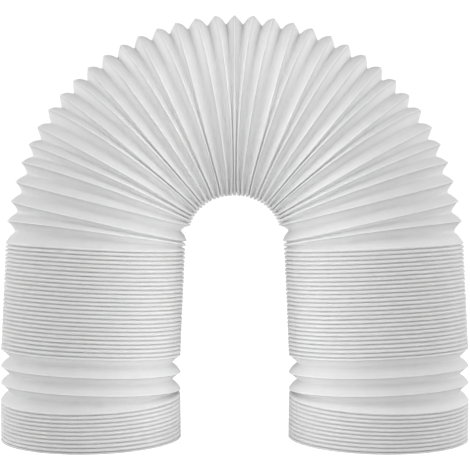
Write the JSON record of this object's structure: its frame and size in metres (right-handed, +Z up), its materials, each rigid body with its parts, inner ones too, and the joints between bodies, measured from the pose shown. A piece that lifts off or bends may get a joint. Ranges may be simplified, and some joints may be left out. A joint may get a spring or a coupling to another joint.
{
  "type": "air conditioner exhaust hose",
  "caption": "Round bellows duct hose of white plastic, bent into an arch and standing on its two open ends.",
  "frame": {"origin": "on the floor, under the middle of the arch", "axes": "+X across the two legs, +Y away from the front, +Z up"},
  "size_m": [0.3908, 0.153, 0.352],
  "materials": {
    "white_polypropylene": "satin"
  },
  "bodies": {
    "root": {"exhaust_hose": "white_polypropylene"}
  },
  "joints": []
}
